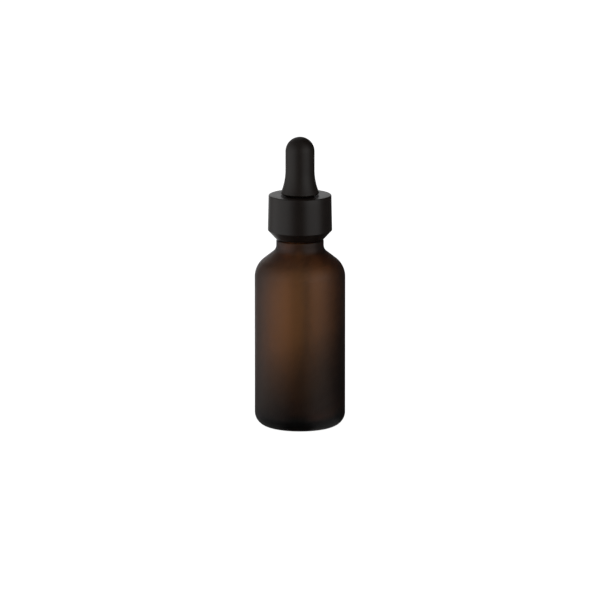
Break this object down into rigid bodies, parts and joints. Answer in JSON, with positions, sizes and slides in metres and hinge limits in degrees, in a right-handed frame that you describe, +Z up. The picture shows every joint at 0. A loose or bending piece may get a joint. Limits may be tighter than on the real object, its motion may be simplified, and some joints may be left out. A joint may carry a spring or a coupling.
{
  "type": "ink bottle",
  "caption": "Round frosted amber glass bottle with sloping shoulders, a black screw cap, a squeezable rubber bulb and a glass pipette for dosing ink.",
  "frame": {"origin": "centre of the bottle's base, on the plane that it stands on", "axes": "+Z up along the bottle's axis; the bulb is pinched along X"},
  "size_m": [0.033, 0.033, 0.1068],
  "materials": {
    "frosted_amber_glass": "frosted, acid-etched outside",
    "matte_black_cap": "matte",
    "black_rubber": "matte",
    "clear_glass": "clear, polished"
  },
  "bodies": {
    "bottle": {"glass_bottle": "frosted_amber_glass"},
    "dropper": {"rubber_bulb": "black_rubber", "glass_pipette": "clear_glass"},
    "cap": {"screw_cap": "matte_black_cap"},
    "grip_left": {"bulb_grip_left": "black_rubber"},
    "grip_right": {"bulb_grip_right": "black_rubber"}
  },
  "joints": [
    {"name": "dropper_lift", "type": "slide", "parent": "bottle", "child": "dropper", "axis": [0, 0, 1], "range_m": [0, 0.075]},
    {"name": "cap_twist", "type": "hinge", "parent": "dropper", "child": "cap", "pos_m": [0, 0, 0.0774], "axis": [0, 0, 1], "range_deg": [0, 450]},
    {"name": "bulb_pinch_left", "type": "slide", "parent": "dropper", "child": "grip_left", "axis": [1, 0, 0], "range_m": [0, 0.0025], "stiffness_N_per_m": 800},
    {"name": "bulb_pinch_right", "type": "slide", "parent": "dropper", "child": "grip_right", "axis": [-1, 0, 0], "range_m": [0, 0.0025]}
  ],
  "couplings": [
    {"joint": "bulb_pinch_right", "follows": "bulb_pinch_left", "ratio": 1}
  ]
}
